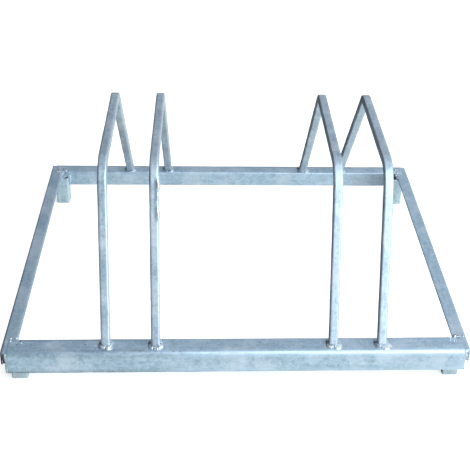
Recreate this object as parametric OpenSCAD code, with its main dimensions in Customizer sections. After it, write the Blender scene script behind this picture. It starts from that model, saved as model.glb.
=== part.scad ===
// Two-bay floor rack: a welded rectangular base frame on four short feet carries
// four bent square-bar hoops, set in two pairs. Each pair leaves one upright slot.
// The whole rack is one rigid weldment, so nothing turns or slides.
// X runs along the width, Y from the front rail to the back rail, Z up.
// The origin lies on the floor, in the middle of the footprint.

/* [Frame] */
// Overall width, over both side rails
frame_w = 720; // [600:5:900]
// Overall depth, over the front and back rails
frame_d = 640; // [520:2:760]
// Side of the square front tube
front_tube = 40; // [30:1:45]
// Side of the square back tube
back_tube = 30; // [25:1:35]
// Wall of both tubes
tube_wall = 2.5; // [2:0.5:3]
// Leg of the angle section used for the side rails
angle_leg = 22; // [20:1:25]
// Thickness of the angle section
angle_t = 3; // [2:0.5:4]
// How far the tubes' ends lie inside the outer faces of the side rails
end_inset = 8; // [6:1:10]

/* [Feet] */
// Gap between the floor and the underside of the front tube
floor_gap = 18; // [10:1:40]
// Side of the square tube that the feet are cut from
foot_tube = 25; // [20:1:25]
// Wall of the foot tube
foot_wall = 2; // [1.5:0.5:3]
// Distance from the end of the rack to the near side of a foot
foot_inset = 11; // [6:1:40]

/* [Hoops] */
// Side of the square hoop bar
bar = 14; // [10:1:16]
// Height of the top run above the rails, to the middle of the bar
hoop_h = 267; // [180:1:320]
// How far back the front bend sits from the middle of the front tube
front_lean = 76; // [30:1:110]
// Length of the level top run, between the corners of the bar's middle line
top_run = 270; // [150:1:290]
// Radius of the front bend, to the middle of the bar
front_bend_r = 42; // [20:1:60]
// Radius of the back bend, to the middle of the bar
back_bend_r = 24; // [16:1:60]

/* [Bays] */
// Distance between the middles of the two bays
bay_pitch = 350; // [250:5:400]
// Distance between the middles of the two hoops in one bay
hoop_pitch = 76; // [50:1:100]
// How far the bays sit to the right of the middle of the frame
bay_shift = 10; // [-15:1:15]

/* [Welds] */
// Radius of the bead around each hoop foot
hoop_bead = 4.5; // [3:0.5:6]
// Radius of the bead at the frame corners and the feet
frame_bead = 3; // [2:0.5:4]

/* [Hidden] */
$fn = 48;

// Heights: every rail's top face lies in one plane
top_z = floor_gap + front_tube;
front_y = -frame_d / 2;
back_y = frame_d / 2;
// Inner faces of the two tubes, which the side rails' flanges butt against
front_in = front_y + front_tube;
back_in = back_y - back_tube;
tube_end = frame_w / 2 - end_inset;
// Gap between a tube's end and the inside of a side rail's upright leg
end_gap = end_inset - angle_t;
front_tube_r = 5;
back_tube_r = 4;
foot_tube_r = 3;
// Width taken off each side at the hoop bar's long edges
bar_edge = 1;
// How far the middle of each hoop bead lies inside the bar's outline
bead_tuck = 0.5;
root_r = 3.5;
toe_r = 1.5;
// The upright legs stop short of the front and back faces, which leaves room for a bead
leg_setback = 3;
// Turn of the bar at each bend, and its lean from upright
front_turn = 90 - atan(front_lean / hoop_h);
hoop_front_y = front_y + front_tube / 2;
hoop_back_y = back_y - back_tube / 2;
bend_1_y = hoop_front_y + front_lean;
bend_2_y = bend_1_y + top_run;
back_run = hoop_back_y - bend_2_y;
back_turn = 90 - atan(back_run / hoop_h);
// Along the bar, from each corner of the middle line to where its bend starts
front_tangent = front_bend_r * tan(front_turn / 2);
back_tangent = back_bend_r * tan(back_turn / 2);
front_leg_len = norm([front_lean, hoop_h]);
back_leg_len = norm([back_run, hoop_h]);
// Extra bar below the rail plane, which the foot cut takes off again
foot_excess = 2 * bar;
hoop_x = [
    for (bay = [-1, 1], side = [-1, 1]) bay_shift + bay * bay_pitch / 2 + side * hoop_pitch / 2
];
back_foot_top = top_z - angle_t;
zinc = [0.66, 0.69, 0.72];
pale_zinc = [0.80, 0.82, 0.84];
// A shade more than the parts it is cut with
over = 1;

// ---- outlines ----

module rounded_square(size, radius) {
    inner = size / 2 - radius;
    square([size, 2 * inner], center = true);
    square([2 * inner, size], center = true);
    for (x = [-inner, inner], y = [-inner, inner]) translate([x, y]) circle(radius);
}

module tube_outline(size, wall, radius) {
    difference() {
        rounded_square(size, radius);
        rounded_square(size - 2 * wall, max(radius - wall, 0.5));
    }
}

// Angle section with its corner at the origin, the flange along +X and the leg down -Y
module angle_outline() {
    translate([0, -angle_t]) square([angle_leg - toe_r, angle_t]);
    translate([angle_leg - 2 * toe_r, -angle_t + toe_r]) square([2 * toe_r, angle_t - toe_r]);
    translate([angle_leg - toe_r, -angle_t + toe_r]) circle(toe_r);
    translate([0, -angle_leg + toe_r]) square([angle_t, angle_leg - toe_r]);
    translate([0, -angle_leg]) square([angle_t - toe_r, 2 * toe_r]);
    translate([angle_t - toe_r, -angle_leg + toe_r]) circle(toe_r);
    difference() {
        translate([angle_t, -angle_t - root_r]) square(root_r);
        translate([angle_t + root_r, -angle_t - root_r]) circle(root_r);
    }
}

// ---- solids shared by several pieces ----

// A tube laid along X with its top face in the rail plane
module cross_tube(size, wall, radius, y_front) {
    translate([-tube_end, y_front + size / 2, top_z - size / 2])
        rotate([90, 0, 90]) linear_extrude(2 * tube_end) tube_outline(size, wall, radius);
}

// The same tube without its bore, for cutting neighbours
module cross_block(size, radius, y_front) {
    translate([-tube_end, y_front + size / 2, top_z - size / 2])
        rotate([90, 0, 90]) linear_extrude(2 * tube_end) rounded_square(size, radius);
}

module front_block() {
    cross_block(front_tube, front_tube_r, front_y);
}

module back_block() {
    cross_block(back_tube, back_tube_r, back_in);
}

// Left side rail: the flange fits between the tubes and the leg runs past their ends
module side_angle() {
    difference() {
        translate([-frame_w / 2, back_y - leg_setback, top_z])
            rotate([90, 0, 0]) linear_extrude(frame_d - 2 * leg_setback) angle_outline();
        for (y = [front_y - over, back_in])
            translate([-tube_end, y, 0])
                cube([angle_leg, (y < 0 ? front_tube : back_tube) + over, top_z + over]);
    }
}

// Outline of the hoop bar: a square whose four edges are taken off
module bar_outline() {
    full = bar / 2;
    cut = full - bar_edge;
    polygon([
        [full, -cut], [full, cut], [cut, full], [-cut, full],
        [-full, cut], [-full, -cut], [-cut, -full], [cut, -full]
    ]);
}

module straight_bar(length) {
    linear_extrude(length) bar_outline();
}

// Bend in the YZ plane, starting upwards at the origin and turning towards +Y
module bar_bend(radius, turn) {
    translate([0, radius, 0]) rotate([90, 0, 90]) rotate([0, 0, 180 - turn])
        rotate_extrude(angle = turn) translate([radius, 0]) bar_outline();
}

// Core inside the bar where two lengths meet end to end, so that they join as one solid
module core() {
    cube(bar / 3, center = true);
}

// A leaning leg from its foot at the origin up to the end of its bend, in the YZ plane
module leg_and_bend(length, bend_r, turn) {
    rotate([turn - 90, 0, 0]) {
        translate([0, 0, -foot_excess]) straight_bar(length + foot_excess);
        translate([0, 0, length]) core();
        translate([0, 0, length]) bar_bend(bend_r, turn);
    }
}

// One hoop at X = 0, before its feet are cut level with the rails
module bent_bar() {
    run_start = bend_1_y + front_tangent;
    run_end = bend_2_y - back_tangent;
    translate([0, hoop_front_y, top_z])
        leg_and_bend(front_leg_len - front_tangent, front_bend_r, front_turn);
    translate([0, run_start, top_z + hoop_h]) rotate([-90, 0, 0]) straight_bar(run_end - run_start);
    for (y = [run_start, run_end]) translate([0, y, top_z + hoop_h]) core();
    translate([0, hoop_back_y, top_z]) mirror([0, 1, 0])
        leg_and_bend(back_leg_len - back_tangent, back_bend_r, back_turn);
}

// Takes off everything below the rail plane
module foot_cut() {
    translate([-frame_w, -frame_d, top_z - 4 * bar]) cube([2 * frame_w, 2 * frame_d, 4 * bar]);
}

module cut_hoop() {
    difference() {
        bent_bar();
        foot_cut();
    }
}

// A short stub of square tube, standing on the floor with its near corner at the origin
module foot_stub(height) {
    translate([foot_tube / 2, foot_tube / 2, 0])
        linear_extrude(height) tube_outline(foot_tube, foot_wall, foot_tube_r);
}

module foot_block(height) {
    translate([foot_tube / 2, foot_tube / 2, 0])
        linear_extrude(height) rounded_square(foot_tube, foot_tube_r);
}

// Near corner of the left-hand feet
foot_x = -frame_w / 2 + foot_inset;
front_foot_y = front_in - foot_tube;
back_foot_y = back_in - foot_tube;

// ---- weld beads ----

// Straight round bead along X, Y or Z with square ends
module bead(start, run, radius) {
    turn = run.x != 0 ? [0, 90, 0] : run.y != 0 ? [-90, 0, 0] : [0, 0, 0];
    translate(start) rotate(turn) cylinder(h = norm(run), r = radius);
}

// Four straight beads around a rectangle on the rail plane, centred on [x, y]
module bead_ring(x, y, width, depth, radius) {
    near = [x - width / 2, y - depth / 2, top_z];
    for (side = [0, 1]) {
        bead(near + [-radius, side * depth, 0], [width + 2 * radius, 0, 0], radius);
        bead(near + [side * width, -radius, 0], [0, depth + 2 * radius, 0], radius);
    }
}

// Leaning block that fills the place of one hoop leg, its foot at the origin
module leg_block(lean) {
    rotate([lean, 0, 0]) translate([-bar / 2, -bar / 2, -2 * bar]) cube([bar, bar, 4 * bar]);
}

module hoop_weld(index, at_front) {
    lean = at_front ? front_turn - 90 : 90 - back_turn;
    ring_y = at_front ? hoop_front_y : hoop_back_y;
    difference() {
        bead_ring(hoop_x[index], ring_y,
                  bar - 2 * bead_tuck, bar / cos(lean) - 2 * bead_tuck, hoop_bead);
        translate([hoop_x[index], ring_y, top_z]) leg_block(lean);
        foot_cut();
    }
}

// Beads of one left-hand corner: across the flange's end, and up the gap at the tube's open end
module corner_weld(tube, in_y, face_y) {
    inward = sign(in_y - face_y);
    gap_bead = end_gap / 2 + frame_bead / 3;
    difference() {
        union() {
            bead([-tube_end, in_y, top_z - frame_bead / 2], [angle_leg - end_inset - angle_t, 0, 0], frame_bead);
            bead([-tube_end - end_gap / 2, face_y + inward * (leg_setback + gap_bead), top_z - angle_leg],
                 [0, 0, angle_leg - angle_t], gap_bead);
        }
        front_block();
        back_block();
        side_angle();
        translate([-frame_w / 2, front_y, top_z]) cube([2 * angle_leg, frame_d, tube]);
    }
}

// Beads along three sides of a left-hand front foot, where it meets the tube above it
module front_foot_weld() {
    run = foot_tube - 2 * foot_tube_r;
    near = [foot_x, front_foot_y, floor_gap];
    difference() {
        union() {
            bead(near + [foot_tube_r, 0, 0], [run, 0, 0], frame_bead);
            for (side = [0, foot_tube]) bead(near + [side, foot_tube_r, 0], [0, run, 0], frame_bead);
        }
        translate([foot_x, front_foot_y, 0]) foot_block(floor_gap);
        translate(near - frame_bead * [2, 2, 0]) cube(2 * foot_tube);
    }
}

// Beads of a left-hand back foot: up its back corners and along the flange's edge
module back_foot_weld() {
    flange_edge = -frame_w / 2 + angle_leg;
    difference() {
        union() {
            bead([foot_x + foot_tube, back_in, top_z - back_tube + back_tube_r],
                 [0, 0, back_tube - 2 * back_tube_r], frame_bead);
            bead([flange_edge, back_foot_y + foot_tube_r, back_foot_top],
                 [0, foot_tube - 2 * foot_tube_r, 0], frame_bead);
        }
        back_block();
        side_angle();
        translate([foot_x, back_foot_y, 0]) foot_block(back_foot_top);
        translate([-frame_w / 2, front_y, top_z]) cube([2 * angle_leg, frame_d, over + frame_bead]);
    }
}

// ---- sub-parts ----

module front_rail() {
    color(zinc) cross_tube(front_tube, tube_wall, front_tube_r, front_y);
}

module back_rail() {
    color(zinc) cross_tube(back_tube, tube_wall, back_tube_r, back_in);
}

module left_side_rail() {
    color(zinc) side_angle();
}

module right_side_rail() {
    color(zinc) mirror([1, 0, 0]) side_angle();
}

module hoop(index) {
    color(zinc) translate([hoop_x[index], 0, 0]) cut_hoop();
}

module foot_front_left() {
    color(zinc) translate([foot_x, front_foot_y, 0]) foot_stub(floor_gap);
}

module foot_front_right() {
    mirror([1, 0, 0]) foot_front_left();
}

module foot_back_left() {
    color(zinc) translate([foot_x, back_foot_y, 0]) foot_stub(back_foot_top);
}

module foot_back_right() {
    mirror([1, 0, 0]) foot_back_left();
}

module weld_hoop_front(index) {
    color(pale_zinc) hoop_weld(index, true);
}

module weld_hoop_back(index) {
    color(pale_zinc) hoop_weld(index, false);
}

module weld_corner_front_left() {
    color(pale_zinc) corner_weld(front_tube, front_in, front_y);
}

module weld_corner_front_right() {
    mirror([1, 0, 0]) weld_corner_front_left();
}

module weld_corner_back_left() {
    color(pale_zinc) corner_weld(back_tube, back_in, back_y);
}

module weld_corner_back_right() {
    mirror([1, 0, 0]) weld_corner_back_left();
}

module weld_foot_front_left() {
    color(pale_zinc) front_foot_weld();
}

module weld_foot_front_right() {
    mirror([1, 0, 0]) weld_foot_front_left();
}

module weld_foot_back_left() {
    color(pale_zinc) back_foot_weld();
}

module weld_foot_back_right() {
    mirror([1, 0, 0]) weld_foot_back_left();
}

front_rail();
back_rail();
left_side_rail();
right_side_rail();
hoop(0);  // hoop_1
hoop(1);  // hoop_2
hoop(2);  // hoop_3
hoop(3);  // hoop_4
foot_front_left();
foot_front_right();
foot_back_left();
foot_back_right();
weld_hoop_front(0);  // weld_hoop_1_front
weld_hoop_front(1);  // weld_hoop_2_front
weld_hoop_front(2);  // weld_hoop_3_front
weld_hoop_front(3);  // weld_hoop_4_front
weld_hoop_back(0);  // weld_hoop_1_back
weld_hoop_back(1);  // weld_hoop_2_back
weld_hoop_back(2);  // weld_hoop_3_back
weld_hoop_back(3);  // weld_hoop_4_back
weld_corner_front_left();
weld_corner_front_right();
weld_corner_back_left();
weld_corner_back_right();
weld_foot_front_left();
weld_foot_front_right();
weld_foot_back_left();
weld_foot_back_right();
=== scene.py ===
import math

import bpy
import numpy as np
from bpy.props import FloatProperty, FloatVectorProperty, IntProperty, PointerProperty
from mathutils import Matrix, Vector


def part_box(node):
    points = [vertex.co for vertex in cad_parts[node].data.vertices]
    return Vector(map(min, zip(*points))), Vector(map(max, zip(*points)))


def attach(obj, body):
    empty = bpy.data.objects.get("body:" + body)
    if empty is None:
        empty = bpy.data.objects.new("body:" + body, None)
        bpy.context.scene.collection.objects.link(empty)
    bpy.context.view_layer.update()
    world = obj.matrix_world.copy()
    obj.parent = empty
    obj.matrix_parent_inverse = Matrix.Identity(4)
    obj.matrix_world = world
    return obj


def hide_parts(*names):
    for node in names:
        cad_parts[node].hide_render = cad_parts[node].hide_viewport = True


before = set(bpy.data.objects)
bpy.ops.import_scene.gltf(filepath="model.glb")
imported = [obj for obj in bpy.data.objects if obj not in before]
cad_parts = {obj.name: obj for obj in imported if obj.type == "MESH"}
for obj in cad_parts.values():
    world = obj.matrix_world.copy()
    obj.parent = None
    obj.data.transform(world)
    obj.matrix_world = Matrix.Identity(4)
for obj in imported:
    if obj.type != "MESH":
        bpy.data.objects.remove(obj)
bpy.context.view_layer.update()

bl_info = {
    "name": "Galvanised wheel rack",
    "version": (1, 0, 0),
    "blender": (4, 5, 0),
    "location": "3D View > Sidebar > Wheel Rack",
    "description": "Builds the tubes, angles, hoops, feet and welds of a two-place wheel rack",
    "category": "Add Mesh",
}

MM = 0.001
HOOPS = ("hoop_1", "hoop_2", "hoop_3", "hoop_4")
SIDES = ("left", "right")
CORNERS = [(row, side) for row in ("front", "back") for side in SIDES]
UP = np.array([0.0, 0.0, 1.0])


def node_box(node):
    """Lowest and highest corner of one CAD node, as arrays in metres."""
    low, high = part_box(node)
    return np.array(low), np.array(high)


def new_object(name, data):
    """A new object in the scene, at the origin."""
    made = bpy.data.objects.new(name, data)
    bpy.context.scene.collection.objects.link(made)
    return made


RAIL_TOP = node_box("front_rail")[1][2]
# How far the tubes' ends lie inside the outer faces of the side rails
TUBE_INSET = node_box("front_rail")[0][0] - node_box("left_side_rail")[0][0]


# ---- sizes and colours that a user may change ----

def a_length(name, description, default, low, high):
    """A length property, given in millimetres."""
    return FloatProperty(name=name, description=description, default=default * MM,
                         min=low * MM, max=high * MM, subtype="DISTANCE", unit="LENGTH")


def a_turn(name, description, default):
    """An angle property, given in degrees."""
    return FloatProperty(name=name, description=description, default=math.radians(default),
                         subtype="ANGLE", unit="ROTATION")


def a_colour(name, description, default):
    """A colour property."""
    return FloatVectorProperty(name=name, description=description, default=default,
                               min=0, max=1, size=3, subtype="COLOR")


class TubeSizes(bpy.types.PropertyGroup):
    """Cross-section of the two cross tubes"""
    front_round: a_length("Front corner radius", "Outer corner radius of the front tube", 6.4, 1, 9)
    back_round: a_length("Back corner radius", "Outer corner radius of the back tube", 2.8, 1, 7)
    wall: a_length("Wall", "Wall thickness of the cross tubes", 2.5, 1, 4)
    unevenness: a_length("Unevenness", "Height of the slow waves in the zinc coat", 0.22, 0, 1)


class AngleSizes(bpy.types.PropertyGroup):
    """Cross-section of the two side rails"""
    thickness: a_length("Thickness", "Thickness of flange and leg", 3, 2, 5)
    root: a_length("Root radius", "Radius in the inner corner", 3.5, 1, 6)
    toe: a_length("Toe radius", "Radius at the edge of flange and leg", 1.4, 0.3, 2)
    heel: a_length("Heel radius", "Radius of the outer corner under its zinc", 0.9, 0.3, 2)


class HoopSizes(bpy.types.PropertyGroup):
    """Course of the bent bars"""
    bar: a_length("Bar", "Side of the square bar", 14, 8, 20)
    edge: a_length("Bar edge radius", "Radius of the bar's long edges under their zinc", 2.2, 0.5, 4)
    lean: a_length("Front lean", "How far back the front bend sits from the front foot", 76, 20, 120)
    run: a_length("Top run", "Length of the level run between the two bends", 270, 100, 300)
    front_bend: a_length("Front bend radius", "Radius of the front bend, to the bar's middle", 42, 15, 70)
    back_bend: a_length("Back bend radius", "Radius of the back bend, to the bar's middle", 24, 15, 70)
    unevenness: a_length("Unevenness", "Height of the slow waves in the zinc coat", 0.2, 0, 1)


class FootSizes(bpy.types.PropertyGroup):
    """Cross-section of the four feet"""
    corner: a_length("Corner radius", "Outer corner radius of the foot tube", 3, 1, 6)
    wall: a_length("Wall", "Wall thickness of the foot tube", 2, 1, 4)


class WeldSizes(bpy.types.PropertyGroup):
    """Size and roughness of the weld metal"""
    reach: a_length("Reach", "How far a bead spreads over the rail", 4.4, 1, 8)
    climb: a_length("Climb", "How far a bead climbs up the bar", 3.0, 1, 8)
    lump: a_length("Lump", "Extra size of the lump where the bead was ended", 2.6, 0, 6)
    seam: a_length("Seam bead radius", "Radius of the beads at the frame's corners", 3, 1, 5)
    spatter: IntProperty(
        name="Spatter", description="Drops of weld metal around each front foot of a hoop",
        default=16, min=0, max=80)


class ZincLook(bpy.types.PropertyGroup):
    """Colour and sheen of the zinc coat"""
    rail_tint: a_colour("Rails", "Zinc on the tubes and angles", (0.375, 0.52, 0.655))
    hoop_tint: a_colour("Hoops", "Zinc on the bent bars", (0.385, 0.50, 0.61))
    foot_tint: a_colour("Feet", "Zinc on the feet", (0.42, 0.56, 0.66))
    weld_tint: a_colour("Welds", "Thick zinc on the weld metal", (0.54, 0.64, 0.72))
    sheen: FloatProperty(
        name="Roughness", description="Mean roughness of the zinc",
        default=0.40, min=0.1, max=0.9, subtype="FACTOR")


class StageLook(bpy.types.PropertyGroup):
    """Floor, light and camera"""
    floor_tint: a_colour("Floor", "Colour of the floor", (0.90, 0.90, 0.90))
    floor_glow: FloatProperty(
        name="Floor glow", description="Light that the floor sheet gives off by itself",
        default=0.55, min=0, max=2)
    key: FloatProperty(
        name="Key light", description="Power of the overhead soft box",
        default=13.0, min=0, max=500, unit="POWER")
    panel: FloatProperty(
        name="Front light", description="Power of the upright soft box in front",
        default=18.0, min=0, max=500, unit="POWER")
    surround: FloatProperty(
        name="Surround", description="Brightness of the studio around the rack",
        default=1.0, min=0, max=5)
    place: FloatVectorProperty(
        name="Camera place", description="Where the camera stands",
        default=(-0.0494, -1.6172, 1.0167), size=3, subtype="TRANSLATION")
    heading: a_turn("Heading", "Turn of the camera to the right of straight ahead", 4.626)
    dip: a_turn("Dip", "Angle of the camera below the level", 30.011)
    roll: a_turn("Roll", "Turn of the camera about its own axis", 2.368)
    lens: FloatProperty(
        name="Lens", description="Focal length in millimetres", default=80.35, min=20, max=300)
    shift: FloatProperty(
        name="Shift", description="Sideways shift of the lens", default=-0.0957, min=-0.5, max=0.5)


# ---- node trees ----

class Wire:
    """A node socket that takes part in arithmetic. Each operator adds one Math node to its tree."""

    def __init__(self, bench, socket):
        self.bench = bench
        self.socket = socket

    def math(self, operation, *values):
        return self.bench.node("ShaderNodeMath", {"operation": operation}, dict(enumerate(values)))

    def __add__(self, other):
        return self.math("ADD", self, other)

    def __radd__(self, other):
        return self.math("ADD", other, self)

    def __sub__(self, other):
        return self.math("SUBTRACT", self, other)

    def __rsub__(self, other):
        return self.math("SUBTRACT", other, self)

    def __mul__(self, other):
        return self.math("MULTIPLY", self, other)

    def __rmul__(self, other):
        return self.math("MULTIPLY", other, self)


class Bench:
    """A node tree being laid out, for a material or for the studio around the rack."""

    def __init__(self, owner):
        owner.use_nodes = True
        self.tree = owner.node_tree
        self.tree.nodes.clear()

    def node(self, kind, settings=None, sockets=None, output=0):
        """Adds a node of one kind. Settings come first, then its sockets get values or links."""
        made = self.tree.nodes.new(kind)
        for key, value in (settings or {}).items():
            setattr(made, key, value)
        for key, value in (sockets or {}).items():
            if isinstance(value, Wire):
                self.tree.links.new(value.socket, made.inputs[key])
            else:
                made.inputs[key].default_value = value
        return Wire(self, made.outputs[output]) if len(made.outputs) else None

    def blend(self, share, first, second):
        """Colour that goes from first to second as share goes from 0 to 1."""
        first, second = [v if isinstance(v, Wire) else (*v, 1) for v in (first, second)]
        return self.node("ShaderNodeMix", {"data_type": "RGBA"}, {0: share, 6: first, 7: second}, output=2)

    def ease(self, value, low, high, start=0.0, end=1.0):
        """Value carried smoothly from start to end while the input goes from low to high."""
        return self.node("ShaderNodeMapRange", {"interpolation_type": "SMOOTHSTEP"},
                         {0: value, 1: low, 2: high, 3: start, 4: end})

    def noise(self, place, scale, detail=3.0, rough=0.5):
        """Cloudy noise with the given number of blotches in a metre."""
        return self.node("ShaderNodeTexNoise", None,
                         {"Vector": place, "Scale": scale, "Detail": detail, "Roughness": rough})

    def stretched(self, place, factors):
        """Place times a factor on each axis. A factor below 1 draws a pattern out along that axis."""
        return self.node("ShaderNodeVectorMath", {"operation": "MULTIPLY"}, {0: place, 1: factors})


# Marks in the zinc coat, as how many of each there are in a metre
CRYSTALS = 260.0
CLOUDS = 21.0
RUNS = 210.0
MOTTLES = 85.0
GRAINS = 330.0
# Along the bar a run is drawn out by one over this
RUN_DRAW = 0.09
SPECK_TINT = (0.05, 0.06, 0.075)


def zinc(name, tint, sheen, frost, spots, relief_strength):
    """Hot-dip zinc. Its crystals are 4 mm cells of slightly different grey. Runs follow the bar, because they
    are read from the bar's laid-out place, and cloudy bloom and small dark specks lie over them. The piece's
    edge attribute paints a highlight by turning it pale. Its darkening attribute turns it dark, for slag and
    stains and for painted shade."""
    material = bpy.data.materials.new(name)
    bench = Bench(material)
    place = bench.node("ShaderNodeTexCoord", output=3)
    laid = bench.node("ShaderNodeAttribute", {"attribute_name": "laid_out"}, output=1)
    edge = bench.node("ShaderNodeAttribute", {"attribute_name": "edge"}, output=2)
    dull = bench.node("ShaderNodeAttribute", {"attribute_name": "dull"}, output=2)

    crystal = bench.node("ShaderNodeTexVoronoi", None, {"Vector": place, "Scale": CRYSTALS}, output=1)
    crystal = bench.node("ShaderNodeSeparateColor", None, {0: crystal})
    cloud = bench.ease(bench.noise(place, CLOUDS, 4.0, 0.6), 0.42, 0.68)
    runs = bench.noise(bench.stretched(laid, (1.0, 1.0, RUN_DRAW)), RUNS, 3.0, 0.55)
    mottle = bench.noise(place, MOTTLES, 4.0, 0.62)
    grain = bench.noise(place, GRAINS, 3.0, 0.6)
    speck = bench.node("ShaderNodeTexVoronoi", None, {"Vector": place, "Scale": spots})
    # A speck is 0.7 mm from its middle to where it starts to fade, and 1.6 mm to where it ends
    speck = 1 - bench.ease(speck, spots * 0.7 * MM, spots * 1.6 * MM)

    tone = (crystal - 0.5) * 0.14 + (runs - 0.5) * 0.30 + (mottle - 0.5) * 0.26 + (grain - 0.5) * 0.42
    pale = tuple(min(1, c * 1.30 + 0.03) for c in tint)
    deep = tuple(c * s for c, s in zip(tint, (0.66, 0.70, 0.74)))
    bloom = tuple(min(1, c * 0.6 + 0.38) for c in tint)
    shade = bench.blend(bench.ease(tone, -0.30, 0.30), deep, pale)
    shade = bench.blend(cloud * frost, shade, bloom)
    # Painted highlight: the edge attribute blends the colour towards the pale tone
    shade = bench.blend(edge * 0.35, shade, pale)
    # Darkening for slag and stains, and painted shade
    shade = bench.blend(dull, shade, tuple(c * 0.12 for c in tint))
    shade = bench.blend(speck * 0.85, shade, SPECK_TINT)

    roughness = sheen + cloud * 0.12 + (crystal - 0.5) * 0.08 + (mottle - 0.5) * 0.16 - edge * 0.05
    relief = mottle * 0.5 + runs * 0.3 + grain * 0.09 + crystal * 0.05 - speck * 0.5
    bump = bench.node("ShaderNodeBump", None,
                      {"Strength": relief_strength, "Distance": 0.6 * MM, "Height": relief})
    shader = bench.node("ShaderNodeBsdfPrincipled", None, {
        "Base Color": shade,
        "Metallic": 0.78 - cloud * 0.16 - speck * 0.5,
        "Roughness": roughness,
        "Normal": bump,
    })
    bench.node("ShaderNodeOutputMaterial", None, {"Surface": shader})
    return material


def finish(slot):
    """The zinc finish of one of the record's material slots, made once. After each tint come its roughness,
    its share of bloom, how many cells for specks lie in a metre, and the strength of its relief."""
    name = slot.replace("galvanised", "zinc")
    if name in bpy.data.materials:
        return bpy.data.materials[name]
    look = bpy.context.scene.rack_zinc
    tint, *numbers = {
        "galvanised_rail": (look.rail_tint, look.sheen, 0.45, 16.0, 0.45),
        "galvanised_hoop": (look.hoop_tint, look.sheen, 0.40, 16.0, 0.45),
        "galvanised_foot": (look.foot_tint, look.sheen, 0.45, 16.0, 0.45),
        "galvanised_weld": (look.weld_tint, look.sheen - 0.10, 0.45, 190.0, 0.9),
    }[slot]
    return zinc(name, tuple(tint), *numbers)


# ---- surfaces ----

def waves(place, length, seed, count=14):
    """Slow uneven height: the sum of many sine waves, each with its own direction, phase and a length between
    0.6 and 1.6 times the one given, divided by the root of their number. It mostly stays within 1.5."""
    rng = np.random.default_rng(seed)
    heading = rng.normal(size=(count, 3))
    heading /= np.linalg.norm(heading, axis=1, keepdims=True)
    turns = 2 * np.pi / (length * rng.uniform(0.6, 1.6, (count, 1)))
    phase = rng.uniform(0, 2 * np.pi, count)
    return np.sin(place @ (heading * turns).T + phase).sum(-1) / math.sqrt(count)


def square_outline(half_a, half_b, radius, arc=6, side=6):
    """Closed outline of a square with rounded corners. At each corner the point turns a quarter circle of the
    given radius, and along each side it goes straight on. Returns points, outward directions and closeness
    to an edge, which is 1 along the arcs and 0 in the middle of a side."""
    turn = np.linspace(0, np.pi / 2, arc)
    on_side = np.linspace(0, 1, side + 2)[1:-1, None]
    points, outward, edges = [], [], []
    for k, (sign_a, sign_b) in enumerate(((1, 1), (-1, 1), (-1, -1), (1, -1))):
        angle = turn + k * np.pi / 2
        ray = np.stack([np.cos(angle), np.sin(angle)], -1)
        points.append(np.array([sign_a * (half_a - radius), sign_b * (half_b - radius)]) + radius * ray)
        outward.append(ray)
        edges.append(np.ones(arc))
    starts = [points[(k + 1) % 4][0] for k in range(4)]
    for k in range(4):
        flat = points[k][-1] * (1 - on_side) + starts[k] * on_side
        points[k] = np.concatenate([points[k], flat])
        outward[k] = np.concatenate([outward[k], np.repeat(outward[k][-1:], side, 0)])
        edges[k] = np.concatenate([edges[k], np.abs(2 * on_side[:, 0] - 1) ** 8])
    return np.concatenate(points), np.concatenate(outward), np.concatenate(edges)


def laid_out(section, travel):
    """Section points with their distance along the bar as third coordinate, for every ring and point."""
    shape = (len(travel), section.shape[-2])
    along = np.broadcast_to(travel[:, None, None], (*shape, 1))
    return np.concatenate([np.broadcast_to(section, (*shape, 2)), along], -1)


def carry(section, centre, across, upward):
    """Places a section along a path: point = centre + a * across + b * upward, for every ring and point."""
    across, upward = (np.atleast_2d(direction)[:, None] for direction in (across, upward))
    return centre[:, None] + section[..., 0, None] * across + section[..., 1, None] * upward


def ring_faces(rings, around, looped):
    """Quads between neighbouring rings of equal length. Each ring closes on itself, and a looped set of rings
    also joins its last ring to its first."""
    row = np.arange(rings if looped else rings - 1)[:, None]
    spot = np.arange(around)[None]
    after = (row + 1) % rings
    beside = (spot + 1) % around
    quads = [row * around + spot, after * around + spot, after * around + beside, row * around + beside]
    return np.stack(quads, -1).reshape(-1, 4)


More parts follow.
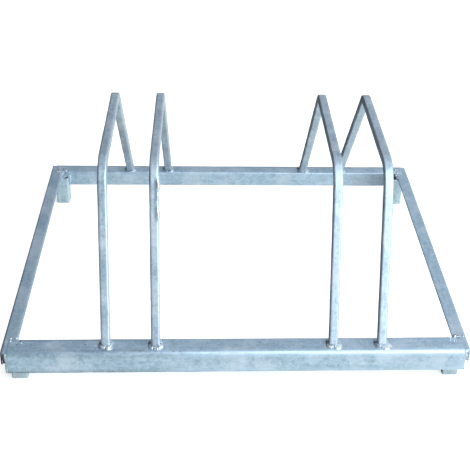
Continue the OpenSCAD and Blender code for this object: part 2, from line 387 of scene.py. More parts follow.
class Shell:
    """Gathers closed grids of rings into one mesh."""

    def __init__(self):
        self.points, self.faces, self.laid, self.edges, self.stains_and_shades = [], [], [], [], []
        self.count = 0

    def add(self, rings, looped=False, laid=None, edges=0.0, dull=0.0):
        """Adds rings[ring, point, xyz]. Open ends get a fan about their middle. Edges, the share of painted
        highlight, and the darkening share, for slag and stains and for painted shade, are numbers or arrays
        that spread over the rings. Faces are turned round when the enclosed volume comes out negative, so
        that they always point outwards."""
        amount, around = rings.shape[:2]
        points = rings.reshape(-1, 3)
        laid = points if laid is None else laid.reshape(-1, 3)
        edges, dull = (np.broadcast_to(values, (amount, around)).reshape(-1) for values in (edges, dull))
        quads = ring_faces(amount, around, looped)
        triangles = np.concatenate([quads[:, [0, 1, 2]], quads[:, [0, 2, 3]]])
        caps = np.zeros((0, 3), int)
        if not looped:
            spot = np.arange(around)
            beside = (spot + 1) % around
            last, total = (amount - 1) * around, len(points)
            caps = np.concatenate([
                np.stack([np.full(around, total), spot, beside], -1),
                np.stack([np.full(around, total + 1), last + beside, last + spot], -1),
            ])
            points = np.concatenate([points, rings[[0, -1]].mean(1)])
            laid = np.concatenate([laid, laid.reshape(amount, around, 3)[[0, -1]].mean(1)])
            edges, dull = (np.concatenate([values, [0, 0]]) for values in (edges, dull))
        every = np.concatenate([triangles, caps])
        a, b, c = (points[every[:, k]] for k in range(3))
        if np.einsum("ij,ij->i", a, np.cross(b, c)).sum() < 0:
            quads, caps = quads[:, ::-1], caps[:, ::-1]
        self.faces += [quads + self.count, caps + self.count]
        self.points.append(points)
        self.laid.append(laid)
        self.edges.append(edges)
        self.stains_and_shades.append(dull)
        self.count += len(points)

    def piece(self, name, slot, *nodes):
        """Writes the mesh, gives it its zinc, and lets it stand for its CAD nodes."""
        mesh = bpy.data.meshes.new(name)
        faces = [f for block in self.faces for f in block.tolist()]
        mesh.from_pydata(np.concatenate(self.points).tolist(), [], faces)
        laid = mesh.attributes.new("laid_out", "FLOAT_VECTOR", "POINT")
        laid.data.foreach_set("vector", np.concatenate(self.laid).astype(np.float32).ravel())
        for attribute, values in (("edge", self.edges), ("dull", self.stains_and_shades)):
            layer = mesh.attributes.new(attribute, "FLOAT", "POINT")
            layer.data.foreach_set("value", np.concatenate(values).astype(np.float32))
        mesh.polygons.foreach_set("use_smooth", np.ones(len(mesh.polygons), bool))
        mesh.materials.append(finish(slot))
        mesh.update()
        made = new_object(name, mesh)
        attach(made, "root")
        if nodes:
            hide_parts(*nodes)
        return made


def tube_rings(low, high, axis, radius, wall, unevenness, seed, pitch=4 * MM):
    """Square tube from one corner of a box to the other along one axis. Rings go out along the outer outline
    and come back along the bore, so the surface closes on itself. The outer outline swells by slow waves,
    and both ends are drawn in a little where the cut was dipped in zinc."""
    others = [k for k in range(3) if k != axis]
    half_a, half_b = (high - low)[others] / 2
    outer, outward, edge = square_outline(half_a, half_b, radius)
    inner = square_outline(half_a - wall, half_b - wall, max(radius - wall, 0.5 * MM))[0]
    length = (high - low)[axis]
    soften = 0.5 * MM
    along = np.concatenate([
        [0, soften * 0.3, soften],
        np.arange(pitch, length - pitch / 2, pitch),
        [length - soften, length - soften * 0.3, length],
    ])
    drawn = np.concatenate([[1, 0.35, 0], np.zeros(len(along) - 6), [0, 0.35, 1]]) * soften
    swell = unevenness * (waves(laid_out(outer, along), 70 * MM, seed) - 0.9) * 0.5 - drawn[:, None]
    skin = outer[None] + outward[None] * swell[..., None]
    bore = np.repeat(inner[None], len(along), 0)
    section = np.concatenate([skin, bore])
    travel = np.concatenate([along, along[::-1]])
    centre = np.tile((low + high) / 2, (len(travel), 1))
    centre[:, axis] = low[axis] + travel
    rings = carry(section, centre, *np.eye(3)[others])
    edges = np.concatenate([np.tile(edge, (len(along), 1)), np.zeros((len(along), len(edge)))])
    return rings, laid_out(section, travel), edges


def angle_outline(width, sizes):
    """Outline of an angle section, with its outer corner at the origin, the flange along +a and the leg down
    -b. Five arcs, for the heel, the flange's toe, the root and the two edges of the leg's toe, are joined by
    straight sides that are cut into equal steps."""
    t, toe, root, heel = sizes.thickness, sizes.toe, sizes.root, sizes.heel

    def arc(centre_a, centre_b, radius, start, end, steps=6):
        angle = np.radians(np.linspace(start, end, steps))
        return np.stack([centre_a + radius * np.cos(angle), centre_b + radius * np.sin(angle)], -1)

    flange_toe = arc(width - toe, -t + toe, toe, 90, -90, 8)
    flange_toe[:, 1] = np.clip(flange_toe[:, 1], -t, 0)
    flange_toe[0, 1] = 0
    bits = [
        arc(heel, -heel, heel, 180, 90),
        flange_toe,
        arc(t + root, -t - root, root, 90, 180),
        arc(t - toe, -width + toe, toe, 0, -90),
        arc(heel, -width + heel, heel, 270, 180),
    ]
    # The root is a hollow, so it gets no painted highlight as the other four do
    painted_highlight = (1, 1, 0, 1, 1)
    share = np.linspace(0, 1, 8)[1:-1, None]
    outline, edge = [], []
    for bit, following, bright in zip(bits, bits[1:] + bits[:1], painted_highlight):
        outline += [bit, bit[-1] * (1 - share) + following[0] * share]
        edge += [np.full(len(bit), bright), np.zeros(len(share))]
    return np.concatenate(outline), np.concatenate(edge)


def bent_path(corners, radii, pitch):
    """Middle line of a bent bar in the YZ plane. Between corners it runs straight, and at each corner it
    turns along an arc tangent to both sides. Returns the places and directions along it."""
    places, ways = [], []
    start = corners[0]
    for k in range(1, len(corners)):
        way = corners[k] - corners[k - 1]
        way = way / np.linalg.norm(way)
        if k < len(corners) - 1:
            leave = corners[k + 1] - corners[k]
            leave = leave / np.linalg.norm(leave)
            radius = radii[k - 1]
            turn = math.acos(float(way @ leave))
            tangent = radius * math.tan(turn / 2)
            end = corners[k] - way * tangent
        else:
            turn, end = 0.0, corners[k]
        steps = max(2, int(np.linalg.norm(end - start) / pitch))
        share = np.linspace(0, 1, steps, endpoint=turn == 0.0)[:, None]
        places.append(start * (1 - share) + end * share)
        ways.append(np.repeat(way[None], steps, 0))
        if turn:
            side = leave - way * float(way @ leave)
            side = side / np.linalg.norm(side)
            # An arc has closer rings than a straight, and at least eight
            steps = max(8, int(turn * radius / (pitch * 0.6)))
            angle = np.linspace(0, turn, steps, endpoint=False)[:, None]
            places.append(end + radius * (np.sin(angle) * way + (1 - np.cos(angle)) * side))
            ways.append(np.cos(angle) * way + np.sin(angle) * side)
            start = corners[k] + leave * tangent
    return np.concatenate(places), np.concatenate(ways)


def hoop_corners(node, sizes):
    """The middle line's four corners: front foot, front bend, back bend and back foot, as y and z."""
    top = node_box(node)[1][2] - sizes.bar / 2
    front, back = (sum(node_box(f"{row}_rail"))[1] / 2 for row in ("front", "back"))
    bend = front + sizes.lean
    return np.array([[front, RAIL_TOP], [bend, top], [bend + sizes.run, top], [back, RAIL_TOP]])


def dome(radius, height, place, normal, seed):
    """A drop of metal: a low dome whose rim is uneven. Each ring lies at its own angle of rise, the first
    just under the rim and the last near the crown, with width cos(rise) and height sin(rise)."""
    rng = np.random.default_rng(seed)
    rise = np.radians([-20, 0, 30, 60, 84])[:, None]
    turn = np.linspace(0, 2 * np.pi, 10, endpoint=False)[None]
    dents = 0.18 * np.sin(2 * turn + rng.uniform(0, 6)) + 0.1 * np.sin(3 * turn + rng.uniform(0, 6))
    normal = np.asarray(normal, float)
    # Any direction that no drop's own comes near will do to start its two side directions from
    first = np.cross(normal, [0.31, 0.9, 0.2])
    first /= np.linalg.norm(first)
    second = np.cross(normal, first)
    out = np.cos(rise) * radius * (1 + dents)
    level = height * np.sin(rise) * np.ones_like(turn)
    directions = ((out * np.cos(turn), first), (out * np.sin(turn), second), (level, normal))
    return np.asarray(place) + sum(amount[..., None] * way for amount, way in directions)


def add_drop(shell, rng, spot, smallest, largest, seed):
    """Adds one drop of weld metal on a rail's top. Three in ten are dark with slag. Every drop gets a strong
    painted highlight, so the rest are white.
    """
    radius = rng.uniform(smallest, largest) * MM
    slag = 0.9 * (rng.random() < 0.3)
    shell.add(dome(radius, radius * 0.7, spot, UP, seed), edges=2.6, dull=slag)


def seam_rings(start, end, normal, radius, seed, wobble=0.25, pitch=0.6 * MM):
    """A laid bead from start to end: rings of a circle whose radius swells by slow waves and steps with each
    ripple of the weld, and whose middle strays a little from the straight line. Both ends close in like a
    dome."""
    start, end, normal = (np.asarray(values, float) for values in (start, end, normal))
    length = np.linalg.norm(end - start)
    way = (end - start) / length
    side = np.cross(way, normal)
    along = np.arange(0, length, pitch)
    spots = np.stack([along, along * 0, along * 0], -1)
    ripple = 0.12 * np.abs(np.sin(along / (1.5 * MM) * np.pi / 2))
    swell = 1 + wobble * waves(spots, 7 * MM, seed, 9) + ripple
    ends = np.sqrt(np.clip(1 - np.abs(2 * along / length - 1) ** 14, 0.02, 1))
    stray = waves(spots, 16 * MM, seed + 7, 6)[:, None] * side * radius * 0.2
    turn = np.linspace(0, 2 * np.pi, 14, endpoint=False)
    ring = np.cos(turn)[None, :, None] * side + np.sin(turn)[None, :, None] * normal
    middle = start + along[:, None] * way + stray
    rings = middle[:, None] + ring * (radius * swell * ends)[:, None, None]
    return rings + waves(rings, 2.4 * MM, seed + 9)[..., None] * 0.12 * MM * ring


# ---- one operator for each piece or group of like pieces ----

class RACK_OT_cross_tubes(bpy.types.Operator):
    """Build the front and the back tube"""
    bl_idname = "rack.cross_tubes"
    bl_label = "Cross tubes"

    def execute(self, context):
        sizes = context.scene.rack_tubes
        tubes = (("front_rail", sizes.front_round), ("back_rail", sizes.back_round))
        for seed, (node, radius) in enumerate(tubes, 10):
            low, high = node_box(node)
            rings, laid, edges = tube_rings(low, high, 0, radius, sizes.wall, sizes.unevenness, seed)
            painted_light = self.front_painted_light if node == "front_rail" else self.back_painted_light
            shell = Shell()
            shell.add(rings, True, laid, *painted_light(rings, edges, low, high))
            shell.piece(f"{node}_tube", "galvanised_rail", node)
        return {"FINISHED"}

    def front_painted_light(self, rings, edges, low, high):
        """The crease gets a painted highlight from 160 mm left of the middle rightwards, and in the left part
        a faint line of painted shade instead.
        """
        painted_highlight = np.clip((rings[..., 0] + 0.16) / 0.10, 0, 1)
        return edges * painted_highlight, edges * (1 - painted_highlight) * 0.16

    def back_painted_light(self, rings, edges, low, high):
        """Painted shade darkens the front face towards its right end, and the far top edge. No crease gets a
        painted highlight.
        """
        facing = np.clip((low[1] + 1 * MM - rings[..., 1]) / MM + 0.5, 0, 1)
        share = np.clip((rings[..., 0] - 0.20) / 0.12, 0, 1)
        far_edge = edges * (rings[..., 1] > high[1] - 4 * MM) * (rings[..., 2] > high[2] - 4 * MM)
        return 0.0, facing * share * share * (3 - 2 * share) * 0.55 + far_edge * 0.6


class RACK_OT_side_angles(bpy.types.Operator):
    """Build the two angle-iron side rails, coped to fit between the tubes"""
    bl_idname = "rack.side_angles"
    bl_label = "Side angles"

    def execute(self, context):
        sizes = context.scene.rack_angles
        for seed, side in enumerate(SIDES, 20):
            node = f"{side}_side_rail"
            low, high = node_box(node)
            outline, edge = angle_outline(high[0] - low[0], sizes)
            along = self.stations(low[1], high[1])
            # Beside the tubes only the part outside their ends is left
            section = np.repeat(outline[None], len(along), 0)
            coped = (along < node_box("front_rail")[1][1]) | (along > node_box("back_rail")[0][1])
            section[coped, :, 0] = np.minimum(section[coped, :, 0], TUBE_INSET)
            spots = laid_out(section, along)
            wave = waves(spots, 60 * MM, seed) - 1
            section = section + np.array([0.0, 0.12 * MM]) * wave[..., None] * (section[..., :1] > 1 * MM)
            corner, inward = (low[0], 1.0) if side == "left" else (high[0], -1.0)
            centre = np.stack([np.full(len(along), corner), along, np.full(len(along), high[2])], -1)
            # Painted shade: a dark line along the outer edge of the left rail, strongest at the front, over a
            # slight darkening of the whole left rail
            strength = 0.35 + 0.6 * np.clip((high[1] - along) / (high[1] - low[1]), 0, 1)
            dull = 0.05 + np.clip(1.6 - section[..., 0] / (1.6 * MM), 0, 0.95) * strength[:, None]
            shell = Shell()
            # The angle's edges carry a painted highlight
            shell.add(carry(section, centre, [inward, 0, 0], UP), False, spots, edge, dull * (side == "left"))
            shell.piece(f"{node}_angle", "galvanised_rail", node)
        return {"FINISHED"}

    def stations(self, front, back):
        """Where the rings lie: 4 mm apart, and closer at the ends and at the cuts beside the tubes."""
        front_in, back_in = node_box("front_rail")[1][1], node_box("back_rail")[0][1]
        step, skip, near, end = 0.02 * MM, 0.3 * MM, 1 * MM, 4 * MM
        return np.concatenate([
            [front, front + 0.4 * MM], np.linspace(front + end, front_in - near, 8), [front_in - step],
            np.arange(front_in + skip, back_in - skip, 4 * MM), [back_in - skip],
            [back_in + step], np.linspace(back_in + near, back - end, 8), [back - 0.4 * MM, back],
        ])


# Lumps of thick zinc on a hoop: how many, how far along the bar in metres, and where around it in radians
LUMPS = {"hoop_2": (34, (196 * MM, 262 * MM), (0.1, 0.95))}
FEW_LUMPS = (7, (0.02, 0.62), (0, 2 * np.pi))


class RACK_OT_hoops(bpy.types.Operator):
    """Build the four bent hoops"""
    bl_idname = "rack.hoops"
    bl_label = "Hoops"

    def execute(self, context):
        sizes = context.scene.rack_hoops
        half = sizes.bar / 2
        outline, outward, edge = square_outline(half, half, sizes.edge, arc=5, side=5)
        for number, node in enumerate(HOOPS):
            low, high = node_box(node)
            place, way = bent_path(hoop_corners(node, sizes), (sizes.front_bend, sizes.back_bend), 3 * MM)
            travel = np.concatenate([[0], np.cumsum(np.linalg.norm(np.diff(place, axis=0), axis=1))])
            swell = self.swell(laid_out(outline, travel), number, half, sizes.unevenness)
            section = outline[None] + outward[None] * swell[..., None]
            zero = np.zeros(len(place))
            centre = np.stack([zero + (low[0] + high[0]) / 2, place[:, 0], place[:, 1]], -1)
            ahead = np.stack([zero, way[:, 0], way[:, 1]], -1)
            # The second section direction points to the outside of the bends
            outside = np.stack([zero, -way[:, 1], way[:, 0]], -1)
            rings = self.cut_feet(carry(section, centre, [1.0, 0, 0], outside), ahead)
            bright, dull = self.painted_light(outline, edge, swell, half, number)
            shell = Shell()
            shell.add(rings, False, laid_out(section, travel), bright, dull)
            shell.piece(f"{node}_bar", "galvanised_hoop", node)
        return {"FINISHED"}

    def swell(self, spots, number, half, unevenness):
        """Slow waves, quicker ones of half their height, and lumps, each a rounded bump at its own place."""
        rng = np.random.default_rng(40 + number)
        slow = unevenness * 0.5 * (waves(spots, 45 * MM, 50 + number) - 0.8)
        quick = unevenness * 0.25 * waves(spots, 12 * MM, 60 + number)
        amount, along, around = LUMPS.get(HOOPS[number], FEW_LUMPS)
        where = rng.uniform(*along, amount)
        spin = rng.uniform(*around, amount)
        size = rng.uniform(1.6, 3.6, amount) * MM
        ray = np.stack([np.cos(spin), np.sin(spin)], -1)
        on_skin = ray * half / np.abs(ray).max(-1, keepdims=True)
        target = np.concatenate([on_skin, where[:, None]], -1)
        # A lump is 1.6 times as long along the bar as across it, and a fifth of its size high
        gap = np.linalg.norm((spots[:, :, None] - target) / (size[:, None] * [1, 1, 1.6]), axis=-1)
        return slow + quick + (np.exp(-gap ** 2) * size * 0.2).sum(-1)

    def cut_feet(self, rings, ahead):
        """Cuts both feet level: what would lie below the rails is slid up along the bar, and the end rings
        are slid onto the rails' plane."""
        climb = np.where(np.abs(ahead[:, 2:]) > 1e-6, ahead[:, 2:], 1.0)
        below = np.maximum(0, RAIL_TOP - rings[..., 2]) / climb
        rings = rings + below[..., None] * ahead[:, None]
        for end in (0, -1):
            level = (RAIL_TOP - rings[end, :, 2]) / climb[end]
            rings[end] += level[:, None] * ahead[end]
        return rings

    def painted_light(self, outline, edge, swell, half, number):
        """The left side and the left front edge get painted shade. Every edge gets a painted highlight, on
        the two left-hand hoops the right front edge gets a much stronger one, and lumps get a painted
        highlight on any hoop."""
        left, front, left_hand = outline[:, 0] < 0, outline[:, 1] > 0, number < 2
        dull = np.clip(-outline[:, 0] / half - 0.72, 0, 0.24) * (0.8 if left_hand else 1.1)
        dull = dull + (0.22 if left_hand else 0.06) * edge * left * front
        bright = edge * (1 + 1.4 * ~left * front * left_hand)
        return bright + np.clip(swell / MM - 0.25, 0, 1) * 4, dull


class RACK_OT_feet(bpy.types.Operator):
    """Build the four feet, all open at their ends but for the back left one"""
    bl_idname = "rack.feet"
    bl_label = "Feet"

    def execute(self, context):
        sizes = context.scene.rack_feet
        for number, (row, side) in enumerate(CORNERS):
            node = f"foot_{row}_{side}"
            low, high = node_box(node)
            rings, laid, edges = tube_rings(
                low, high, 2, sizes.corner, sizes.wall, 0.15 * MM, 70 + number, 2 * MM)
            shell = Shell()
            # Painted highlight on the foot's corners, and painted shade that makes the front feet darker than
            # the back ones
            shell.add(rings, True, laid, edges, 0.17 if row == "front" else 0.0)
            if node == "foot_back_left":
                # A skin of zinc closes the mouth of this foot, 8 percent wider than the tube
                skin = dome(1.0, 0.5 * MM, (0, 0, 0), UP, 350)
                skin[..., :2] *= 0.54 * (high - low)[:2]
                skin += [(low[0] + high[0]) / 2, (low[1] + high[1]) / 2, high[2] + 0.6 * MM]
                # The skin carries a painted highlight
                shell.add(skin, edges=1.0)
            shell.piece(f"{node}_stub", "galvanised_foot", node)
        return {"FINISHED"}


# Points on the outer side of a hoop bead's section
BEAD_STEPS = 9


def bead_section():
    """Closed outline of a fillet bead in shares of its reach and climb. The outer side bulges from the bar's
    face to the rail, and the rest of the outline lies inside both."""
    turn = np.linspace(0, np.pi / 2, BEAD_STEPS)
    bulge = np.stack([np.sin(turn) ** 0.85, np.cos(turn) ** 0.85], -1)
    hidden = np.array([[0.75, -0.16], [0.2, -0.16], [-0.3, -0.1], [-0.35, 0.4], [-0.25, 0.85]])
    return np.concatenate([bulge, hidden])


def foot_outline(turn, half_a, half_b):
    """Outline of a bar's foot on its rail, a superellipse of power 6, and its outward directions."""
    ray = np.stack([np.cos(turn), np.sin(turn)], -1)
    size = (np.abs(ray) ** 6).sum(-1) ** (-1 / 6)
    base = ray * size[:, None] * [half_a, half_b]
    tangent = np.roll(base, -1, 0) - np.roll(base, 1, 0)
    out = np.stack([tangent[:, 1], -tangent[:, 0]], -1)
    return base, out / np.linalg.norm(out, axis=1, keepdims=True)


def apart(turn, place):
    """How far angles lie from a place on the circle, the short way round."""
    return np.abs((turn - place + np.pi) % (2 * np.pi) - np.pi)


class RACK_OT_hoop_welds(bpy.types.Operator):
    """Build the bead around each foot of each hoop, with the drops of metal beside it"""
    bl_idname = "rack.hoop_welds"
    bl_label = "Hoop welds"

    def execute(self, context):
        sizes, hoops = context.scene.rack_welds, context.scene.rack_hoops
        for number, hoop in enumerate(HOOPS):
            low, high = node_box(hoop)
            corners = hoop_corners(hoop, hoops)
            for row, first, second in (("front", 0, 1), ("back", 3, 2)):
                rng = np.random.default_rng(100 + 2 * number + (row == "back"))
                way = corners[second] - corners[first]
                foot = np.array([(low[0] + high[0]) / 2, corners[first][0], RAIL_TOP])
                shell = Shell()
                self.bead(shell, rng, foot, way[0] / way[1], hoops.bar / 2, sizes, row == "front", number)
                self.spatter(shell, rng, foot, row, sizes.spatter)
                shell.piece(f"weld_{hoop}_{row}_bead", "galvanised_weld", f"weld_{hoop}_{row}")
        return {"FINISHED"}

    def bead(self, shell, rng, foot, slope, half, sizes, front, number):
        """A fillet carried round the foot: point = outline + a * outward, raised by b along the leaning bar.
        Its reach a and climb b swell and thin by slow waves, ripple 26 times round the foot, and grow into a
        lump at the front right corner, where the bead was ended. A back bead is a little smaller."""
        section = bead_section()
        turn = np.linspace(0, 2 * np.pi, 120, endpoint=False)
        base, out = foot_outline(turn, half, half * math.hypot(1, slope))
        flat = np.stack([base[:, 0], base[:, 1], turn * 0], -1)
        uneven = 1 + 0.24 * waves(flat, 11 * MM, 120 + number, 8)
        away = apart(turn, math.radians(-52))
        lump = np.exp(-(away / 0.62) ** 2) * sizes.lump * (1.0 if front else 0.7)
        scale = 1.0 if front else 0.88
        ripple = 1 + 0.04 * np.sin(turn * 26 + rng.uniform(0, 6))
        reach = (sizes.reach * scale * uneven + lump * 1.15) * ripple
        climb = (sizes.climb * scale * (2 - uneven) + lump * 0.45) * ripple
        # What lies inside bar and rail goes equally deep everywhere
        a, b = (np.where(share < 0, share * 4 * MM, share * size[:, None])
                for share, size in ((section[:, 0], reach), (section[:, 1], climb)))
        x, y = base[:, :1] + out[:, :1] * a, base[:, 1:] + out[:, 1:] * a + slope * b
        rings = foot + np.stack([x, y, b], -1)

        # Fine grit covers the outer side
        outward = np.concatenate([out, np.ones((len(out), 1))], 1)[:, None]
        grit = waves(rings, 3.2 * MM, 140 + number) * 0.24 * MM * (section[:, 1] > 0.02)
        rings = rings + grit[..., None] * outward * [1, 1, 0.6]

        # Painted shade lies on its left side, where the bar's shadow falls, and in a deep pinhole in front;
        # dark slag lies in small hollows
        level = np.full(len(section), 9.0)
        level[:BEAD_STEPS] = np.linspace(-1, 1, BEAD_STEPS)
        left = np.exp(-((turn - np.pi) / 0.62) ** 2)[:, None]
        pin = apart(turn, rng.uniform(4.4, 5.0))[:, None]
        pinhole = np.exp(-(pin / 0.11) ** 2 - ((level - 0.1) / 0.35) ** 2)
        hollows = np.clip(waves(rings, 2.6 * MM, 160 + number) - 0.75, 0, 0.6)
        # Besides the slag in the hollows, this also holds the painted shade on the left side and in the
        # pinhole
        slag = np.clip(left * 0.75 + pinhole * (1.2 if front else 0.5) + hollows, 0, 0.95)
        rings = rings - (pinhole * 0.8 * MM)[..., None] * outward
        # Painted highlight round the lump at the front right corner
        shell.add(rings, True, edges=1.6 * np.exp(-(away / 0.9) ** 2)[:, None], dull=slag)

    def spatter(self, shell, rng, foot, row, amount):
        """Drops strewn 11 to 27 mm from the foot, kept on the rail's top. Fewer lie at the back."""
        low, high = node_box(f"{row}_rail")
        for drop in range(amount if row == "front" else amount // 3):
            angle = rng.uniform(0, 2 * np.pi)
            far = rng.uniform(11, 11 + 16 * rng.random()) * MM
            spot = foot + far * np.array([math.cos(angle), math.sin(angle) * 0.8, 0])
            spot[1] = np.clip(spot[1], low[1] + 5 * MM, high[1] - 5 * MM)
            add_drop(shell, rng, spot, 0.3, 1.1, drop)


class RACK_OT_corner_welds(bpy.types.Operator):
    """Build the beads that join the angles to the tubes"""
    bl_idname = "rack.corner_welds"
    bl_label = "Corner welds"

    def execute(self, context):
        seam, leg = context.scene.rack_welds.seam, context.scene.rack_angles.thickness
        for number, (row, side) in enumerate(CORNERS):
            rail_low, rail_high = node_box(f"{row}_rail")
            low, high = node_box(f"{side}_side_rail")
            outer, inner = (low[0], high[0]) if side == "left" else (high[0], low[0])
            inward = np.sign(inner - outer)
            # Which way is out of the frame here, and the tube's faces on its inner and its outer side
            out = -1 if row == "front" else 1
            seam_y, face_y = (rail_high[1], rail_low[1]) if row == "front" else (rail_low[1], rail_high[1])
            shell = Shell()
            self.seam(shell, outer, inner, inward, seam_y, seam, (row, side) == ("front", "right"), number)

            # One bead fills the gap between the angle's leg and the tube's end, a thinner one edges that end.
            # Each has its place in from the outer face, its depth, its bottom and its radius
            gap = ((leg + TUBE_INSET) / 2, 5.6 * MM, low[2], 3.2 * MM)
            end_edge = (TUBE_INSET - 0.6 * MM, 1.7 * MM, rail_low[2] + 1.5 * MM, 1.6 * MM)
            for k, (inset, depth, bottom, size) in enumerate((gap, end_edge)):
                x, y = outer + inward * inset, face_y - out * depth
                bead = seam_rings((x, y, bottom + 1 * MM), (x, y, RAIL_TOP - 1.5 * MM), (0, out, 0), size,
                                  220 + 2 * number + k, 0.3)
                dashes = np.clip(waves(bead, 5 * MM, 230 + number) + 0.2, 0, 1)
                # Painted shade darkens the left gap's bead on its outer side
                outside = np.clip((x - bead[..., 0]) * inward / (0.5 * MM), 0, 1)
                dark = 0.85 * outside * (side == "left") * (k == 0)
                shell.add(bead, dull=np.clip(dark + dashes * 0.4, 0, 0.9))

            rng = np.random.default_rng(240 + number)
            for drop in range(26 if side == "right" else 12):
                x = outer + inward * rng.uniform(9, 30) * MM
                y = seam_y + out * rng.uniform(2.5, 17) * MM
                add_drop(shell, rng, (x, y, RAIL_TOP), 0.6, 1.7, drop)
            shell.piece(f"weld_corner_{row}_{side}_bead", "galvanised_weld", f"weld_corner_{row}_{side}")
        return {"FINISHED"}

    def seam(self, shell, outer, inner, inward, seam_y, size, heavy, number):
        """The bead along the tube's inner top edge. A heavy one starts further out and has slag beside it."""
        radius = size * (0.85 if heavy else 0.62)
        depth = RAIL_TOP - radius * 0.72
        start = (outer + inward * (2 * MM if heavy else TUBE_INSET + 1 * MM), seam_y, depth)
        seam = seam_rings(start, (inner - inward * 0.5 * MM, seam_y, depth), UP, radius, 200 + number, 0.3)
        # The seam carries a painted highlight
        shell.add(seam, edges=2.0, dull=0.8 * heavy * (seam[..., 1] > seam_y - 0.6 * MM))


class RACK_OT_foot_welds(bpy.types.Operator):
    """Build the beads that hold the feet"""
    bl_idname = "rack.foot_welds"
    bl_label = "Foot welds"

    def execute(self, context):
        radius = context.scene.rack_welds.seam * 0.6
        for number, side in enumerate(SIDES):
            self.front_foot(f"foot_front_{side}", radius, 300 + 10 * number)
            self.back_foot(f"foot_back_{side}", side, radius, number)
        return {"FINISHED"}

    def front_foot(self, node, radius, seed):
        """Beads under the tube along the foot's front and both its sides."""
        low, high = node_box(node)
        top = high[2] - radius * 0.55
        inset = 2.5 * MM
        runs = [((low[0] + inset, low[1]), (high[0] - inset, low[1]), (0, -1, 0)),
                ((low[0], low[1] + inset), (low[0], high[1] - inset), (-1, 0, 0)),
                ((high[0], low[1] + inset), (high[0], high[1] - inset), (1, 0, 0))]
        shell = Shell()
        for k, (first, second, face) in enumerate(runs):
            shell.add(seam_rings((*first, top), (*second, top), face, radius, seed + k))
        shell.piece(f"weld_{node}_bead", "galvanised_weld", f"weld_{node}")

    def back_foot(self, node, side, radius, number):
        """A bead up the back tube's face, one along the flange's edge, and a blob with a pit beside them. The
        blob carries a painted highlight, and the pit is a small dome in painted shade.
        """
        low, high = node_box(node)
        rail_bottom = node_box("back_rail")[0][2]
        angle_low, angle_high = node_box(f"{side}_side_rail")
        inner, flange = (high[0], angle_high[0]) if side == "left" else (low[0], angle_low[0])
        upright = ((inner, high[1], rail_bottom + 4 * MM), (inner, high[1], RAIL_TOP - 4 * MM), (0, -1, 0))
        level = ((flange, low[1] + 3 * MM, high[2]), (flange, high[1] - 1 * MM, high[2]), UP)
        blob = np.array([flange, high[1] - 5 * MM, high[2] + 0.5 * MM])
        pit = blob + [0.3 * MM, -1.4 * MM, 2.4 * MM]
        shell = Shell()
        shell.add(seam_rings(*upright, radius, 320 + number))
        shell.add(seam_rings(*level, radius, 330 + number))
        shell.add(dome(4.2 * MM, 2.9 * MM, blob, UP, 340 + number), edges=2.0)
        shell.add(dome(1.1 * MM, 0.8 * MM, pit, (0, -0.5, 0.87), 345), dull=1.0)
        shell.piece(f"weld_{node}_bead", "galvanised_weld", f"weld_{node}")


# Pinholes on the front tube, drawn as low domes in painted shade: place along it, place back from its front
# face, and radius, in millimetres
PINHOLES = ((-235, 23, 1.0), (-150, 5, 0.9), (-99, 3.4, 0.8), (-90, 3.6, 0.8), (33, 26, 1.0))


class RACK_OT_zinc_drops(bpy.types.Operator):
    """Build the small drops of zinc on the cross tubes, and the pinholes on the front tube as low domes in
    painted shade
    """
    bl_idname = "rack.zinc_drops"
    bl_label = "Zinc drops"

    def execute(self, context):
        rng = np.random.default_rng(400)
        shell = Shell()
        border = 6 * MM
        for node, amount in (("front_rail", 90), ("back_rail", 50)):
            low, high = node_box(node)
            for drop in range(amount):
                x = rng.uniform(low[0] + 8 * MM, high[0] - 8 * MM)
                radius = rng.uniform(0.35, 1.0) * MM
                # Half of them sit on the top, and half on the front face
                if rng.random() < 0.5:
                    spot, normal = (x, rng.uniform(low[1] + border, high[1] - border), high[2]), UP
                else:
                    spot, normal = (x, low[1], rng.uniform(low[2] + border, high[2] - border)), (0, -1, 0)
                spot = np.array(spot) - 0.15 * MM * np.array(normal)
                shell.add(dome(radius, radius * 0.5, spot, normal, drop))
        low, high = node_box("front_rail")
        for x, back, radius in PINHOLES:
            # Within 6 mm of the front face the tube's top has begun to round off
            z = high[2] - max(0.0, 6.0 - back) ** 2 * 0.09 * MM
            pit = dome(radius * MM, 0.25 * MM, (x * MM, low[1] + back * MM, z), UP, int(back))
            # Painted shade: the dome is made dark where the pit would lie in shade
            shell.add(pit, dull=1.0)
        shell.piece("zinc_drops", "galvanised_weld")
        return {"FINISHED"}


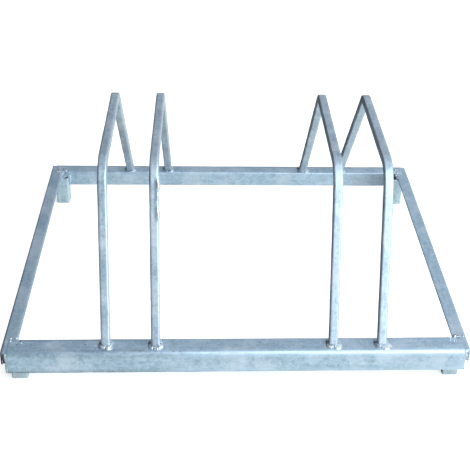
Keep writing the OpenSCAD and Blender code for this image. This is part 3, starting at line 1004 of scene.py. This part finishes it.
class RACK_OT_stage(bpy.types.Operator):
    """Set up the floor, the soft light and the camera"""
    bl_idname = "rack.stage"
    bl_label = "Stage"

    def execute(self, context):
        look = context.scene.rack_stage
        self.floor(look)
        self.surround(look)
        self.lamp("key_soft_box", look.key, (1.9, 1.3), (0.75, -0.95, 1.45), (0.1, 0.0, 0.0))
        self.lamp("front_soft_box", look.panel, (1.4, 1.3), (1.15, -2.3, 0.75), (0.1, 0.0, 0.15))
        self.camera(look)
        return {"FINISHED"}

    def floor(self, look):
        """A level sheet: x and y run over an even grid, z is 0."""
        reach, count = 40, 9
        spread = np.linspace(-reach, reach, count)
        x, y = np.meshgrid(spread, spread, indexing="ij")
        points = np.stack([x, y, 0 * x], -1).reshape(-1, 3)
        corner = np.arange(count - 1)[:, None] * count + np.arange(count - 1)
        faces = np.stack([corner, corner + count, corner + count + 1, corner + 1], -1).reshape(-1, 4)
        mesh = bpy.data.meshes.new("floor")
        mesh.from_pydata(points.tolist(), [], faces.tolist())
        material = bpy.data.materials.new("pale_floor")
        bench = Bench(material)
        place = bench.node("ShaderNodeTexCoord", output=3)
        tint = tuple(look.floor_tint)
        shade = bench.blend(bench.noise(place, 3.0, 4.0), tuple(c * 0.985 for c in tint), tint)
        shader = bench.node("ShaderNodeBsdfPrincipled", None, {
            "Base Color": shade,
            "Roughness": 0.9,
            "Emission Color": (1, 1, 1, 1),
            "Emission Strength": look.floor_glow,
        })
        bench.node("ShaderNodeOutputMaterial", None, {"Surface": shader})
        mesh.materials.append(material)
        floor = new_object("floor", mesh)
        floor.visible_glossy = False

    def surround(self, look):
        """Soft studio light, brighter to the right than to the left, and growing upwards behind."""
        world = bpy.data.worlds.new("studio")
        bpy.context.scene.world = world
        bench = Bench(world)
        way = bench.node("ShaderNodeTexCoord", output=0)
        x, y, z = (bench.node("ShaderNodeSeparateXYZ", None, {0: way}, output=k) for k in range(3))
        right = bench.ease(x, -0.55, 0.55)
        beside = bench.ease(x, -0.22, 0.25)
        front = bench.ease(y * -1, -0.3, 0.8)
        back_above = (0.29 + right * 0.74) * bench.ease(z, 0.20, 0.62, 0.35, 1.08)
        above = back_above + (0.06 + beside * 1.50 - back_above) * front
        below = 0.04 + beside * 1.05 + (0.66 - beside * 0.66) * front
        level = bench.ease(z, -0.3, 0.05)
        light = below + (above - below) * level
        hue = bench.blend(level, (0.97, 1.0, 0.91), (0.96, 0.98, 1.0))
        shader = bench.node("ShaderNodeBackground", None, {"Color": hue, "Strength": light * look.surround})
        bench.node("ShaderNodeOutputWorld", None, {"Surface": shader})

    def lamp(self, name, power, size, place, target):
        """A rectangular soft box that faces its target."""
        light = bpy.data.lights.new(name, "AREA")
        light.shape = "RECTANGLE"
        light.size, light.size_y = size
        light.energy = power
        lamp = new_object(name, light)
        back = np.array(place) - np.array(target)
        back /= np.linalg.norm(back)
        right = np.cross(UP, back)
        right /= np.linalg.norm(right)
        axes = np.eye(4)
        axes[:3, :3] = np.stack([right, np.cross(back, right), back], -1)
        axes[:3, 3] = place
        lamp.matrix_world = Matrix(axes.tolist())

    def camera(self, look):
        """The camera looks along its heading, dipped below the level and rolled about its own axis."""
        head, dip, roll = look.heading, look.dip, look.roll
        ahead = np.array([math.sin(head) * math.cos(dip), math.cos(head) * math.cos(dip), -math.sin(dip)])
        right = np.array([math.cos(head), -math.sin(head), 0.0])
        upward = np.cross(right, ahead)
        axes = np.eye(4)
        axes[:3, 0] = math.cos(roll) * right + math.sin(roll) * upward
        axes[:3, 1] = math.cos(roll) * upward - math.sin(roll) * right
        axes[:3, 2] = -ahead
        axes[:3, 3] = look.place
        data = bpy.data.cameras.new("camera")
        data.lens, data.sensor_width, data.shift_x = look.lens, 36.0, look.shift
        data.clip_start, data.clip_end = 0.02, 200.0
        camera = new_object("camera", data)
        camera.matrix_world = Matrix(axes.tolist())
        bpy.context.scene.camera = camera


OPERATORS = (RACK_OT_cross_tubes, RACK_OT_side_angles, RACK_OT_hoops, RACK_OT_feet, RACK_OT_hoop_welds,
             RACK_OT_corner_welds, RACK_OT_foot_welds, RACK_OT_zinc_drops, RACK_OT_stage)
GROUPS = {"rack_tubes": TubeSizes, "rack_angles": AngleSizes, "rack_hoops": HoopSizes,
          "rack_feet": FootSizes, "rack_welds": WeldSizes, "rack_zinc": ZincLook, "rack_stage": StageLook}


class RACK_PT_sidebar(bpy.types.Panel):
    """Lists the rack's pieces and their sizes"""
    bl_label = "Wheel Rack"
    bl_space_type = "VIEW_3D"
    bl_region_type = "UI"
    bl_category = "Wheel Rack"

    def draw(self, context):
        for operator in OPERATORS:
            self.layout.operator(operator.bl_idname)
        for name, group in GROUPS.items():
            box = self.layout.box()
            for field in group.__annotations__:
                box.prop(getattr(context.scene, name), field)


def register():
    for group in GROUPS.values():
        bpy.utils.register_class(group)
    for name, group in GROUPS.items():
        setattr(bpy.types.Scene, name, PointerProperty(type=group))
    for operator in OPERATORS:
        bpy.utils.register_class(operator)
    bpy.utils.register_class(RACK_PT_sidebar)


def unregister():
    bpy.utils.unregister_class(RACK_PT_sidebar)
    for operator in reversed(OPERATORS):
        bpy.utils.unregister_class(operator)
    for name in GROUPS:
        delattr(bpy.types.Scene, name)
    for group in reversed(GROUPS.values()):
        bpy.utils.unregister_class(group)


def main():
    register()
    bpy.context.scene.view_settings.view_transform = "Standard"
    for operator in OPERATORS:
        group, name = operator.bl_idname.split(".")
        getattr(getattr(bpy.ops, group), name)()


if __name__ == "__main__":
    main()
